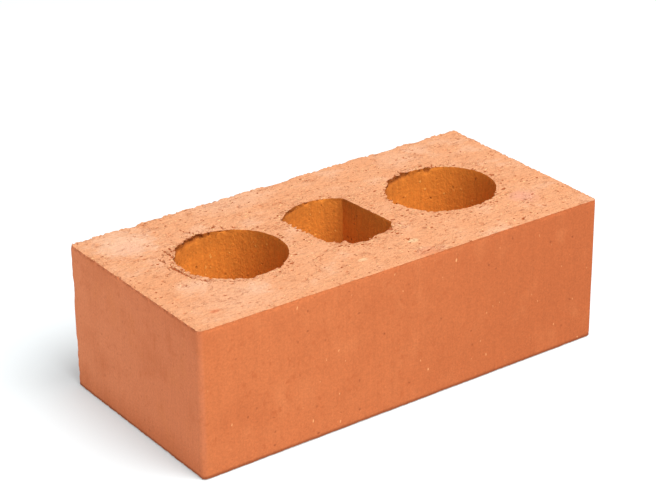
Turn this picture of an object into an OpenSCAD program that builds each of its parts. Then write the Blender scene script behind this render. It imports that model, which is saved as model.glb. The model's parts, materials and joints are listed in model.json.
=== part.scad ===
// Extruded, wire-cut clay brick with three cores through it from bed to bed.
// The clay leaves the die along Z, so the stretchers, the headers and the core walls are
// straight along Z, and the two beds are the faces that the cutting wires leave.
// The origin is at the centre of the lower bed, with X along the length. Sizes in millimetres.

/* [Body] */
// Length of the brick along X, from header to header
brick_length = 222; // [190:1:290]
// Width of the brick along Y, from stretcher to stretcher
brick_width = 107; // [85:1:140]
// Height of the brick along Z, from bed to bed
brick_height = 72; // [40:1:120]
// Radius of the four upright arrises, as the die rounds them
arris_radius = 2.5; // [1:0.5:10]

/* [Cores] */
// Diameter of the two round outer cores, and of the arcs of the middle core
core_diameter = 51; // [30:0.5:64]
// Distance along X from the middle core's axis to each outer core's axis
core_pitch = 59; // [48:0.5:72]
// Distance along X between the two flat walls of the middle core
flat_core_width = 38; // [20:0.5:46]

/* [Hidden] */
// How far the core cutters run past each bed
cut_overrun = 5;
cut_height = brick_height + 2 * cut_overrun;
both_sides = [-1, 1];
$fn = 96;

// Outline of the column that leaves the die: a rectangle with four rounded corners.
module column_outline() {
    inner_length = brick_length - 2 * arris_radius;
    inner_width = brick_width - 2 * arris_radius;
    square([brick_length, inner_width], center = true);
    square([inner_length, brick_width], center = true);
    for (x = both_sides, y = both_sides)
        translate([x * inner_length / 2, y * inner_width / 2])
            circle(r = arris_radius);
}

// Round core, cut through both beds.
module round_core() {
    translate([0, 0, -cut_overrun])
        cylinder(h = cut_height, d = core_diameter);
}

// Middle core: the round core with two flat walls square to the length.
module flat_sided_core() {
    intersection() {
        round_core();
        translate([-flat_core_width / 2, -core_diameter / 2, -cut_overrun])
            cube([flat_core_width, core_diameter, cut_height]);
    }
}

module brick() {
    color("sandybrown")
        difference() {
            linear_extrude(height = brick_height)
                column_outline();
            for (side = both_sides)
                translate([side * core_pitch, 0, 0])
                    round_core();
            flat_sided_core();
        }
}

brick();
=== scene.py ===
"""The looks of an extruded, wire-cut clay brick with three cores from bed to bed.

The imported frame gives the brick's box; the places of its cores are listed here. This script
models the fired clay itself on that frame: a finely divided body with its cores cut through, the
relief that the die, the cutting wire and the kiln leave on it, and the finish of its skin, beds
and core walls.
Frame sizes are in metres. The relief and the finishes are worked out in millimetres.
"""

import json
import logging
import math
from dataclasses import dataclass, field
from enum import Enum
from typing import Callable, Optional, Sequence, Union

import bpy
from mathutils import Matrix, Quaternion, Vector

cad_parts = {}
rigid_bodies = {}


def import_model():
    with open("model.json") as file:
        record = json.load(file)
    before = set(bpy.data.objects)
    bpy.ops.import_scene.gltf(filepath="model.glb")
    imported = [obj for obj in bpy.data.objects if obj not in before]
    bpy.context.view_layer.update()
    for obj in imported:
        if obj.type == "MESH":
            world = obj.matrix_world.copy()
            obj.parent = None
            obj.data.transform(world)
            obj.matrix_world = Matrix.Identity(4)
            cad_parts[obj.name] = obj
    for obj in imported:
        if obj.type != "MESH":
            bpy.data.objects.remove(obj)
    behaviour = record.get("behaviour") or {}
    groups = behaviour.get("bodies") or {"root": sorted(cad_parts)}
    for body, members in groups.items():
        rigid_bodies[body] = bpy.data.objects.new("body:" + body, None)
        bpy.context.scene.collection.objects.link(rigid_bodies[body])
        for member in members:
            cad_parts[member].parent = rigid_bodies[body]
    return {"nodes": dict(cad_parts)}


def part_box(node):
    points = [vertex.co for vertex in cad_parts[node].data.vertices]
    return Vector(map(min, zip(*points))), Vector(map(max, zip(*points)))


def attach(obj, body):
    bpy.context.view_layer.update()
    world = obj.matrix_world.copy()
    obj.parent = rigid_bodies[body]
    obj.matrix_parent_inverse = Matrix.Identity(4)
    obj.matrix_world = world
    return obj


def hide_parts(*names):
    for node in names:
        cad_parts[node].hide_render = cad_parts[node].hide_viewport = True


MM = 0.001
NEAR = MM * 1e-3
SWING_GAIN = 4.0
SEED_WAY = (1.0, 1.7, 2.3)
WHITE = (1.0, 1.0, 1.0, 1.0)
LOG = logging.getLogger("clay_brick")

Socket = bpy.types.NodeSocket
Value = Union[Socket, float]
Triple = tuple[float, float, float]
Triples = Union[Socket, Triple]
Band = tuple[float, float]
Curve = tuple[float, float, float, float]


class CoreShape(Enum):
    """The plan shape of a core through the brick."""

    ROUND = "round"
    FLAT_SIDED = "flat_sided"


class Surface(Enum):
    """The kinds of surface on the brick, by the number of the material slot that each has."""

    SKIN = 0
    BED = 1
    WALL = 2


class Zone(Enum):
    """A vertex attribute that says what part of the clay a point is in, or how worn it is."""

    BED = "bed"
    WALL = "wall"
    CHIP = "chip"
    RIM = "rim"
    PIT = "pit"


@dataclass(frozen=True)
class Lumps:
    """Soft noise through the clay.

    The lumps have a size in millimetres, alike all ways or along each axis. The detail is how
    many finer layers are added, the roughness how strong those are, and the seed a shift that
    makes this noise differ from others of its size.
    """

    size: Union[float, Triple]
    detail: float
    roughness: float
    seed: float


@dataclass(frozen=True)
class Shift:
    """A soft shift of places: its size across and its reach in millimetres, and its seed."""

    size: float
    reach: float
    seed: float


@dataclass(frozen=True)
class Grains:
    """Grains, one in each cell of a size in millimetres, with a seed of their own.

    Flat grains lie in one level plane, and others all through the clay.
    """

    cell: Triple
    seed: float
    flat: bool = False


# ---------------------------------------------------------------------------------------------
# Node trees
# ---------------------------------------------------------------------------------------------


class NodeSheet:
    """Adds nodes to a shader or geometry tree and links them as they are named."""

    def __init__(self, tree: bpy.types.NodeTree) -> None:
        """Start on a tree.

        Args:
            tree: The shader or geometry tree that the nodes go into.
        """
        self.tree = tree

    def add(self, kind: str, inputs: Optional[dict[Union[str, int], object]] = None,
            **settings: object) -> bpy.types.Node:
        """Add one node.

        Args:
            kind: Blender's type name of the node.
            inputs: A socket or a plain value for each input, by name or index.
            settings: Properties to set on the node before its inputs.

        Returns:
            The new node.
        """
        node = self.tree.nodes.new(kind)
        for name, value in settings.items():
            setattr(node, name, value)
        for name, value in (inputs or {}).items():
            self.feed(node.inputs[name], value)
        return node

    def feed(self, into: Socket, value: object) -> None:
        """Link a socket to an input, or set the input to a plain value.

        Args:
            into: The input.
            value: The socket or the plain value that it gets.
        """
        if isinstance(value, bpy.types.NodeSocket):
            self.tree.links.new(value, into)
        else:
            into.default_value = value

    def math(self, operation: str, a: Value, b: Value = 0.0, c: Value = 0.0) -> Socket:
        """Return the result of a math node on up to three values."""
        return self.add("ShaderNodeMath", {0: a, 1: b, 2: c}, operation=operation).outputs[0]

    def plus(self, *terms: Value) -> Socket:
        """Add values up.

        Args:
            terms: The values.

        Returns:
            Their sum.
        """
        total = terms[0]
        for term in terms[1:]:
            total = self.math("ADD", total, term)
        return total

    def minus(self, a: Value, b: Value) -> Socket:
        """Return a less b."""
        return self.math("SUBTRACT", a, b)

    def times(self, *factors: Value) -> Socket:
        """Multiply values.

        Args:
            factors: The values.

        Returns:
            Their product.
        """
        product = factors[0]
        for factor in factors[1:]:
            product = self.math("MULTIPLY", product, factor)
        return product

    def highest(self, *values: Value) -> Socket:
        """Compare values.

        Args:
            values: The values.

        Returns:
            The largest of them.
        """
        top = values[0]
        for value in values[1:]:
            top = self.math("MAXIMUM", top, value)
        return top

    def lowest(self, *values: Value) -> Socket:
        """Compare values.

        Args:
            values: The values.

        Returns:
            The smallest of them.
        """
        low = values[0]
        for value in values[1:]:
            low = self.math("MINIMUM", low, value)
        return low

    def inverse(self, value: Value) -> Socket:
        """Return one less the value."""
        return self.math("SUBTRACT", 1.0, value)

    def vector(self, operation: str, a: Triples, b: Triples = (0.0, 0.0, 0.0)) -> Socket:
        """Return the vector result of a vector math node."""
        return self.add("ShaderNodeVectorMath", {0: a, 1: b}, operation=operation).outputs[0]

    def length(self, a: Triples) -> Socket:
        """Return the length of a vector."""
        return self.add("ShaderNodeVectorMath", {0: a}, operation="LENGTH").outputs["Value"]

    def scaled(self, a: Triples, by: Value) -> Socket:
        """Return a vector times a number."""
        return self.add("ShaderNodeVectorMath", {0: a, "Scale": by}, operation="SCALE").outputs[0]

    def split(self, a: Socket) -> tuple[Socket, Socket, Socket]:
        """Return the three parts of a vector."""
        node = self.add("ShaderNodeSeparateXYZ", {0: a})
        return node.outputs[0], node.outputs[1], node.outputs[2]

    def joined(self, x: Value, y: Value, z: Value) -> Socket:
        """Return a vector made of three values."""
        return self.add("ShaderNodeCombineXYZ", {0: x, 1: y, 2: z}).outputs[0]

    def fade(self, value: Value, start: Value, end: Value, low: Value = 0.0,
             high: Value = 1.0) -> Socket:
        """Ease a value from one level to another.

        Args:
            value: What is read.
            start: The value at which the result is low.
            end: The value at which the result is high. It may be below start.
            low: The result at start and before it.
            high: The result at end and past it.

        Returns:
            The eased level.
        """
        node = self.add("ShaderNodeMapRange", interpolation_type="SMOOTHSTEP")
        for name, given in (("Value", value), ("From Min", start), ("From Max", end),
                            ("To Min", low), ("To Max", high)):
            self.feed(node.inputs[name], given)
        return node.outputs[0]

    def noise(self, at: Socket, lumps: Lumps) -> Socket:
        """Return soft noise from 0 to 1 at a place in millimetres."""
        node = self.add("ShaderNodeTexNoise", {
            "Vector": self._place(at, lumps.size, lumps.seed), "Scale": 1.0,
            "Detail": lumps.detail, "Roughness": lumps.roughness}, noise_dimensions="3D")
        return node.outputs[0]

    def swing(self, at: Socket, lumps: Lumps) -> Socket:
        """Return soft noise about zero, most of it from -1 to 1, at a place in millimetres."""
        return self.math("MULTIPLY_ADD", self.noise(at, lumps), SWING_GAIN, -SWING_GAIN / 2)

    def shifted(self, at: Socket, shift: Shift) -> Socket:
        """Move a place by soft noise, so that what is drawn there is less even.

        Args:
            at: The place, in millimetres.
            shift: How the place is moved.

        Returns:
            The moved place.
        """
        node = self.add("ShaderNodeTexNoise", {
            "Vector": self._place(at, shift.size, shift.seed), "Scale": 1.0, "Detail": 2.0,
            "Roughness": 0.6}, noise_dimensions="3D")
        off = self.vector("SUBTRACT", node.outputs["Color"], (0.5, 0.5, 0.5))
        return self.vector("ADD", at, self.scaled(off, SWING_GAIN * shift.reach))

    def scatter(self, at: Socket, grains: Grains) -> tuple[Socket, Socket]:
        """Scatter grains through the clay.

        Args:
            at: The place, in millimetres.
            grains: The cells that hold a grain each.

        Returns:
            The distance to the nearest grain's centre in cells, and that grain's own chance value
            from 0 to 1.
        """
        node = self.add("ShaderNodeTexVoronoi", {
            "Vector": self._place(at, grains.cell, grains.seed), "Scale": 1.0},
            voronoi_dimensions="2D" if grains.flat else "3D", feature="F1")
        chance = self.split(node.outputs["Color"])[0]
        return node.outputs["Distance"], chance

    def zone(self, zone: Zone) -> Socket:
        """Return one of the zones stored on the mesh as a value."""
        return self.add("ShaderNodeAttribute", attribute_name=zone.value).outputs["Fac"]

    def shaded(self, colour: Socket, *parts: Value) -> Socket:
        """Return a colour made a little lighter or darker by parts that swing about zero."""
        shade = self.plus(1.0, *parts)
        return self.blend(1.0, colour, self.joined(shade, shade, shade), "MULTIPLY")

    def blend(self, share: Value, a: object, b: object, kind: str = "MIX") -> Socket:
        """Lay one colour over another.

        Args:
            share: How much of the second colour shows, from 0 to 1.
            a: The colour below, as a socket or as three values.
            b: The colour that is laid over it.
            kind: Blender's name for the way of blending.

        Returns:
            The blended colour.
        """
        node = self.add("ShaderNodeMix", data_type="RGBA", blend_type=kind, clamp_factor=True)
        colours = [s for s in node.inputs if s.type == "RGBA"]
        self.feed(node.inputs[0], share)
        for into, value in zip(colours, (a, b)):
            self.feed(into, (*value, 1.0) if isinstance(value, tuple) else value)
        return next(s for s in node.outputs if s.type == "RGBA")

    def _place(self, at: Socket, size: Union[float, Triple], seed: float) -> Socket:
        """Turn a place in millimetres into cells.

        Args:
            at: The place, in millimetres.
            size: The size of a cell, alike all ways or along each axis.
            seed: A shift that makes a pattern differ from others of its size.

        Returns:
            The place in cells.
        """
        each = size if isinstance(size, tuple) else (size, size, size)
        step = tuple(1.0 / part for part in each)
        shift = tuple(seed * part for part in SEED_WAY)
        return self.add("ShaderNodeVectorMath", {0: at, 1: step, 2: shift},
                        operation="MULTIPLY_ADD").outputs[0]


# ---------------------------------------------------------------------------------------------
# Modelling helpers
# ---------------------------------------------------------------------------------------------


def pick_only(piece: bpy.types.Object) -> None:
    """Select one object and make it the active one.

    Args:
        piece: The object.
    """
    bpy.ops.object.select_all(action="DESELECT")
    piece.select_set(True)
    bpy.context.view_layer.objects.active = piece


def pick_edges(piece: bpy.types.Object, wanted: Callable[[Vector, Vector], bool]) -> None:
    """Select some of a piece's edges.

    Args:
        piece: The object in edit mode.
        wanted: Says from the places of its two ends whether an edge is selected.
    """
    bpy.ops.mesh.select_mode(type="EDGE")
    bpy.ops.mesh.select_all(action="DESELECT")
    bpy.ops.object.mode_set(mode="OBJECT")
    places = [vertex.co.copy() for vertex in piece.data.vertices]
    for edge in piece.data.edges:
        edge.select = wanted(places[edge.vertices[0]], places[edge.vertices[1]])
    bpy.ops.object.mode_set(mode="EDIT")


def divide_edges(piece: bpy.types.Object, wanted: Callable[[Vector, Vector], bool],
                 pieces: Sequence[int]) -> None:
    """Divide edges into equal lengths, in several passes where there are many.

    Args:
        piece: The object in edit mode.
        wanted: Says from its two ends whether an edge is divided.
        pieces: The number of lengths that each pass makes of one edge.
    """
    for count in pieces:
        pick_edges(piece, wanted)
        bpy.ops.mesh.subdivide(number_cuts=count - 1)


def passes_for(length: float, step: float) -> tuple[int, int]:
    """Work out how to divide a length in two passes.

    Args:
        length: The whole length.
        step: About the length of one step, in the same unit.

    Returns:
        The number of lengths that each pass makes of one edge.
    """
    total = max(4, round(length / step))
    first = max(2, round(math.sqrt(total)))
    return first, max(2, round(total / first))


def graded_rows(height: float, fine: float, coarse: float) -> list[float]:
    """Divide a height into rows that are fine at both ends and coarse in the middle.

    Args:
        height: The whole height.
        fine: The height of the first and the last row.
        coarse: About the height of the rows in the middle.

    Returns:
        The height of each row, from one end to the other.
    """
    growth = 1.3
    rows, row, run = [], fine, 0.0
    while run + row < height / 2:
        rows.append(row)
        run += row
        row = min(row * growth, coarse)
    stretch = height / 2 / run
    rows = [row * stretch for row in rows]
    return rows + rows[::-1]


def raise_column(rows: Sequence[float]) -> None:
    """Extrude the outline's one face upwards, row by row, into a closed column.

    Args:
        rows: The height of each row, from the bottom up, in metres.
    """
    bpy.ops.mesh.select_mode(type="FACE")
    bpy.ops.mesh.select_all(action="SELECT")
    for row in rows:
        bpy.ops.mesh.extrude_region_move(TRANSFORM_OT_translate={"value": (0.0, 0.0, row)})
    bpy.ops.mesh.select_all(action="SELECT")
    bpy.ops.mesh.normals_make_consistent(inside=False)


def close_outline() -> None:
    """Fill the outline, which is a ring of edges, with one face."""
    bpy.ops.mesh.select_all(action="SELECT")
    bpy.ops.mesh.edge_face_add()


# ---------------------------------------------------------------------------------------------
# The cores and the body
# ---------------------------------------------------------------------------------------------


@dataclass(frozen=True)
class Core:
    """One core, as the die and the kiln left it.

    The soft clay moved a little after the die, so each core has its own place and radii. Sizes
    are in millimetres, and the turn of the flat walls is in radians.
    """

    shape: CoreShape
    x: float
    y: float
    radius_x: float
    radius_y: float
    half_flat: float = 0.0
    turn: float = 0.0

    def across(self) -> tuple[float, float]:
        """Return the direction square to the flat walls."""
        return math.cos(self.turn), math.sin(self.turn)

    def gap(self, sheet: NodeSheet, x: Socket, y: Socket) -> tuple[Socket, Socket, Socket]:
        """Measure the clay round the core.

        Args:
            sheet: The tree to add to.
            x: The point's place along the length, in millimetres.
            y: The point's place along the width, in millimetres.

        Returns:
            The distance from the core's outline into the clay, and the plan direction away from
            the core as its x and y parts.
        """
        dx, dy = sheet.minus(x, self.x), sheet.minus(y, self.y)
        mean = (self.radius_x + self.radius_y) / 2
        ex, ey = sheet.times(dx, mean / self.radius_x), sheet.times(dy, mean / self.radius_y)
        reach = sheet.length(sheet.joined(ex, ey, 0.0))
        gap = sheet.minus(reach, mean)
        away_x, away_y = sheet.math("DIVIDE", dx, reach), sheet.math("DIVIDE", dy, reach)
        if self.shape is CoreShape.ROUND:
            return gap, away_x, away_y
        nx, ny = self.across()
        along = sheet.plus(sheet.times(dx, nx), sheet.times(dy, ny))
        flat_gap = sheet.minus(sheet.math("ABSOLUTE", along), self.half_flat)
        side = sheet.math("SIGN", along)
        on_flat = sheet.math("GREATER_THAN", flat_gap, gap)
        on_arc = sheet.inverse(on_flat)
        return (sheet.highest(gap, flat_gap),
                sheet.plus(sheet.times(on_flat, side, nx), sheet.times(on_arc, away_x)),
                sheet.plus(sheet.times(on_flat, side, ny), sheet.times(on_arc, away_y)))


@dataclass
class BrickBody:
    """The fired clay body: a gridded solid with rounded upright arrises and three cores.

    Lengths are in millimetres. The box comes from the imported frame.
    """

    length: float
    width: float
    height: float
    cores: tuple[Core, ...]
    arris_radius: float = 2.3
    arris_pieces: int = 6
    bed_step: float = 0.62
    base_step: float = 1.3
    side_step: float = 1.3
    rim_step: float = 0.95
    fine_row: float = 0.6
    coarse_row: float = 2.5
    overrun: float = 6.0
    weld: float = 0.07
    core_corners: int = 168
    most_cuts: int = 100
    sharp_angle: float = 38.0

    def build(self) -> bpy.types.Object:
        """Model the body, before its relief.

        Returns:
            The piece that the relief and the finish go on.
        """
        body = self._column()
        for operation, cutter in (("INTERSECT", self._wire_block()),
                                  ("DIFFERENCE", self._cutters())):
            self._cut(body, operation, cutter)
        bpy.ops.object.mode_set(mode="EDIT")
        bpy.ops.mesh.select_all(action="SELECT")
        bpy.ops.mesh.remove_doubles(threshold=self.weld * MM)
        bpy.ops.object.mode_set(mode="OBJECT")
        body.name = body.data.name = "brick_clay"
        return body

    def _cut(self, body: bpy.types.Object, operation: str, cutter: bpy.types.Object) -> None:
        """Combine the body with a cutter, and take the cutter away.

        Args:
            body: The body.
            operation: Blender's name for the way of combining them.
            cutter: The closed solid that the body is combined with.
        """
        pick_only(body)
        change = body.modifiers.new(operation.lower(), "BOOLEAN")
        change.operation = operation
        change.solver = "MANIFOLD"
        change.object = cutter
        bpy.ops.object.modifier_apply(modifier=change.name)
        bpy.data.objects.remove(cutter)

    def _rows(self) -> list[float]:
        """Return the rows of a wall in metres, with its overrun past each bed."""
        rows = graded_rows(self.height, self.fine_row, self.coarse_row)
        return [row * MM for row in (self.overrun, *rows, self.overrun)]

    def _column(self) -> bpy.types.Object:
        """Model the column that leaves the die, with its upright arrises rounded.

        Returns:
            The column, which runs past both beds.
        """
        bpy.ops.object.select_all(action="DESELECT")
        bpy.ops.mesh.primitive_plane_add(size=1.0, location=(0.0, 0.0, -self.overrun * MM))
        column = bpy.context.object
        column.scale = (self.length * MM, self.width * MM, 1.0)
        bpy.ops.object.transform_apply(location=True, rotation=True, scale=True)
        bpy.ops.object.mode_set(mode="EDIT")
        bpy.ops.mesh.select_all(action="SELECT")
        bpy.ops.mesh.bevel(offset=self.arris_radius * MM, segments=self.arris_pieces,
                           affect="VERTICES")
        bpy.ops.mesh.delete(type="ONLY_FACE")
        for axis, size in ((0, self.length), (1, self.width)):
            straight = size - 2 * self.arris_radius
            count = straight / self.side_step
            passes = (round(count),) if count < self.most_cuts else (2, round(count / 2))
            divide_edges(column, self._is_long(axis, straight * MM / 2), passes)
        close_outline()
        raise_column(self._rows())
        bpy.ops.object.mode_set(mode="OBJECT")
        return column

    @staticmethod
    def _is_long(axis: int, least: float) -> Callable[[Vector, Vector], bool]:
        """Make a test for the long edges along an axis.

        Args:
            axis: The axis, 0 for x or 1 for y.
            least: The least length of such an edge, to within a millimetre, in metres.

        Returns:
            The test, which reads the places of an edge's two ends.
        """
        other = 1 - axis
        return lambda a, b: (abs(a[other] - b[other]) < NEAR
                             and abs(a[axis] - b[axis]) > least - MM)

    def _cutters(self) -> bpy.types.Object:
        """Model the three core cutters.

        Returns:
            The cutters, joined into one object.
        """
        made = [self._cutter(core) for core in self.cores]
        pick_only(made[0])
        for cutter in made:
            cutter.select_set(True)
        bpy.ops.object.join()
        return bpy.context.object

    def _cutter(self, core: Core) -> bpy.types.Object:
        """Model the closed column that cuts one core.

        Args:
            core: The core.

        Returns:
            The cutter, which runs past both beds.
        """
        bpy.ops.object.select_all(action="DESELECT")
        bpy.ops.mesh.primitive_circle_add(vertices=self.core_corners, radius=1.0, fill_type="NGON")
        cutter = bpy.context.object
        cutter.scale = (core.radius_x * MM, core.radius_y * MM, 1.0)
        cutter.location = (core.x * MM, core.y * MM, -self.overrun * MM)
        bpy.ops.object.transform_apply(location=True, rotation=True, scale=True)
        bpy.ops.object.mode_set(mode="EDIT")
        if core.shape is CoreShape.FLAT_SIDED:
            self._flatten(cutter, core)
        raise_column(self._rows())
        bpy.ops.object.mode_set(mode="OBJECT")
        return cutter

    def _flatten(self, cutter: bpy.types.Object, core: Core) -> None:
        """Cut two flat sides on a core's outline, and divide them as finely as its arcs.

        Args:
            cutter: The core's outline, in edit mode.
            core: The core.
        """
        nx, ny = core.across()
        for side in (1.0, -1.0):
            normal = Vector((nx, ny, 0.0)) * side
            place = Vector((core.x, core.y, 0.0)) * MM + normal * core.half_flat * MM
            bpy.ops.mesh.select_all(action="SELECT")
            bpy.ops.mesh.bisect(plane_co=place, plane_no=normal, clear_outer=True)
        bpy.ops.mesh.select_all(action="SELECT")
        bpy.ops.mesh.delete(type="ONLY_FACE")
        flat_length = 2 * math.sqrt(core.radius_y**2 - core.half_flat**2)
        divide_edges(cutter, lambda a, b: (a - b).length > flat_length * MM / 2,
                     (round(flat_length / self.rim_step),))
        close_outline()

    def _wire_block(self) -> bpy.types.Object:
        """Model the block that lies between the two wire cuts.

        Returns:
            The block, gridded on its beds and over size in plan.
        """
        block_length = self.length + self.overrun
        block_width = self.width + self.overrun
        bpy.ops.object.select_all(action="DESELECT")
        bpy.ops.mesh.primitive_cube_add(size=1.0, location=(0.0, 0.0, self.height * MM / 2))
        block = bpy.context.object
        block.scale = (block_length * MM, block_width * MM, self.height * MM)
        bpy.ops.object.transform_apply(location=True, rotation=True, scale=True)
        bpy.ops.object.mode_set(mode="EDIT")
        for level, step in ((self.height * MM, self.bed_step), (0.0, self.base_step)):
            divide_edges(block, self._on_level(level, 1), passes_for(block_length, step))
            divide_edges(block, self._on_level(level, 0), passes_for(block_width, step))
        bpy.ops.object.mode_set(mode="OBJECT")
        return block

    @staticmethod
    def _on_level(level: float, still: int) -> Callable[[Vector, Vector], bool]:
        """Make a test for the edges on a level that run along one axis.

        Args:
            level: The height of the level, in metres.
            still: The plan coordinate that is the same at both ends, 0 for x or 1 for y.

        Returns:
            The test, which reads the places of an edge's two ends.
        """
        return lambda a, b: (abs(a.z - level) < NEAR and abs(b.z - level) < NEAR
                             and abs(a[still] - b[still]) < NEAR)


# ---------------------------------------------------------------------------------------------
# Marks in the clay
# ---------------------------------------------------------------------------------------------


@dataclass(frozen=True)
class Spot:
    """A soft round patch on a bed, in millimetres from the brick's centre.

    The stretch draws it out along the length. Its edge wanders by a share of the radius, and it
    is at full strength within a share of it.
    """

    x: float
    y: float
    radius: float
    strength: float = 1.0
    stretch: float = 1.0
    wander: float = 0.3
    full: float = 0.25

    def mask(self, sheet: NodeSheet, place: Socket, wobble: Value) -> Socket:
        """Shape the patch.

        Args:
            sheet: The tree to add to.
            place: The place on the brick, in millimetres.
            wobble: Noise about zero that breaks up the patch's edge.

        Returns:
            How strongly the patch shows at the place, from 0 to its strength.
        """
        off = sheet.vector("MULTIPLY", sheet.vector("SUBTRACT", place, (self.x, self.y, 0.0)),
                           (1.0 / self.stretch, 1.0, 0.0))
        reach = sheet.plus(sheet.length(off), sheet.times(wobble, self.radius * self.wander))
        return sheet.fade(reach, self.radius, self.radius * self.full, 0.0, self.strength)


@dataclass(frozen=True)
class Tear:
    """A short open tear between two points of a bed, in millimetres from its centre."""

    x0: float
    y0: float
    x1: float
    y1: float
    width: float = 0.7
    depth: float = 0.8
    wander: float = 0.7
    end_slope: float = 0.5
    bottom: float = 0.2

    def mask(self, sheet: NodeSheet, place: Socket, wobble: Socket) -> Socket:
        """Shape the tear.

        Args:
            sheet: The tree to add to.
            place: The place on the brick, in millimetres.
            wobble: Noise about zero that makes the tear wander.

        Returns:
            How deep the tear is at the place, from 0 to its depth.
        """
        run_x, run_y = self.x1 - self.x0, self.y1 - self.y0
        length = math.hypot(run_x, run_y)
        ux, uy = run_x / length, run_y / length
        x, y, _ = sheet.split(place)
        dx, dy = sheet.minus(x, self.x0), sheet.minus(y, self.y0)
        along = sheet.plus(sheet.times(dx, ux), sheet.times(dy, uy))
        off = sheet.plus(sheet.times(dx, -uy), sheet.times(dy, ux),
                         sheet.times(wobble, self.wander))
        past = sheet.highest(sheet.times(along, -1.0), sheet.minus(along, length), 0.0)
        reach = sheet.plus(sheet.math("ABSOLUTE", off), sheet.times(past, self.end_slope))
        return sheet.fade(reach, self.width, self.width * self.bottom, 0.0, self.depth)


@dataclass(frozen=True)
class ArcTear:
    """A broken tear that follows a core's rim at a small distance, over part of its round.

    The middle of that part and its spread to each side are in degrees.
    """

    core: Core
    offset: float
    middle: float
    spread: float
    width: float = 0.8
    depth: float = 0.9
    wander: float = 0.9
    bottom: float = 0.2
    end_blend: float = 0.06
    gaps: Lumps = Lumps(2.6, 3.0, 0.6, 31.0)

    def mask(self, sheet: NodeSheet, place: Socket, wobble: Socket) -> Socket:
        """Shape the tear.

        Args:
            sheet: The tree to add to.
            place: The place on the brick, in millimetres.
            wobble: Noise about zero that makes the tear wander.

        Returns:
            How deep the tear is at the place, from 0 to its depth.
        """
        x, y, _ = sheet.split(place)
        gap, away_x, away_y = self.core.gap(sheet, x, y)
        facing = sheet.plus(sheet.times(away_x, math.cos(math.radians(self.middle))),
                            sheet.times(away_y, math.sin(math.radians(self.middle))))
        edge = math.cos(math.radians(self.spread))
        inside = sheet.fade(facing, edge - self.end_blend, edge + self.end_blend)
        off = sheet.plus(sheet.minus(gap, self.offset), sheet.times(wobble, self.wander))
        opened = sheet.fade(sheet.math("ABSOLUTE", off), self.width, self.width * self.bottom,
                            0.0, self.depth)
        broken = sheet.fade(sheet.noise(place, self.gaps), 0.43, 0.54)
        return sheet.times(opened, inside, broken)


@dataclass(frozen=True)
class EdgeWear:
    """How much each outer edge of a bed crumbled, in millimetres of the deepest bite.

    The edges of the lower bed have a share of it, the foot. The band is where the wear of one
    edge begins and where it is full, in from that edge.
    """

    back: float = 0.85
    front: float = 0.4
    left: float = 0.8
    right: float = 0.6
    foot: float = 0.3
    reach: float = 2.4
    band: Band = (4.5, 2.5)
    large: Lumps = Lumps(8.0, 1.0, 0.5, 3.0)
    small: Lumps = Lumps(1.5, 2.0, 0.6, 7.0)
    large_share: float = 0.38
    small_share: float = 0.95
    even_share: float = 0.06


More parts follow.
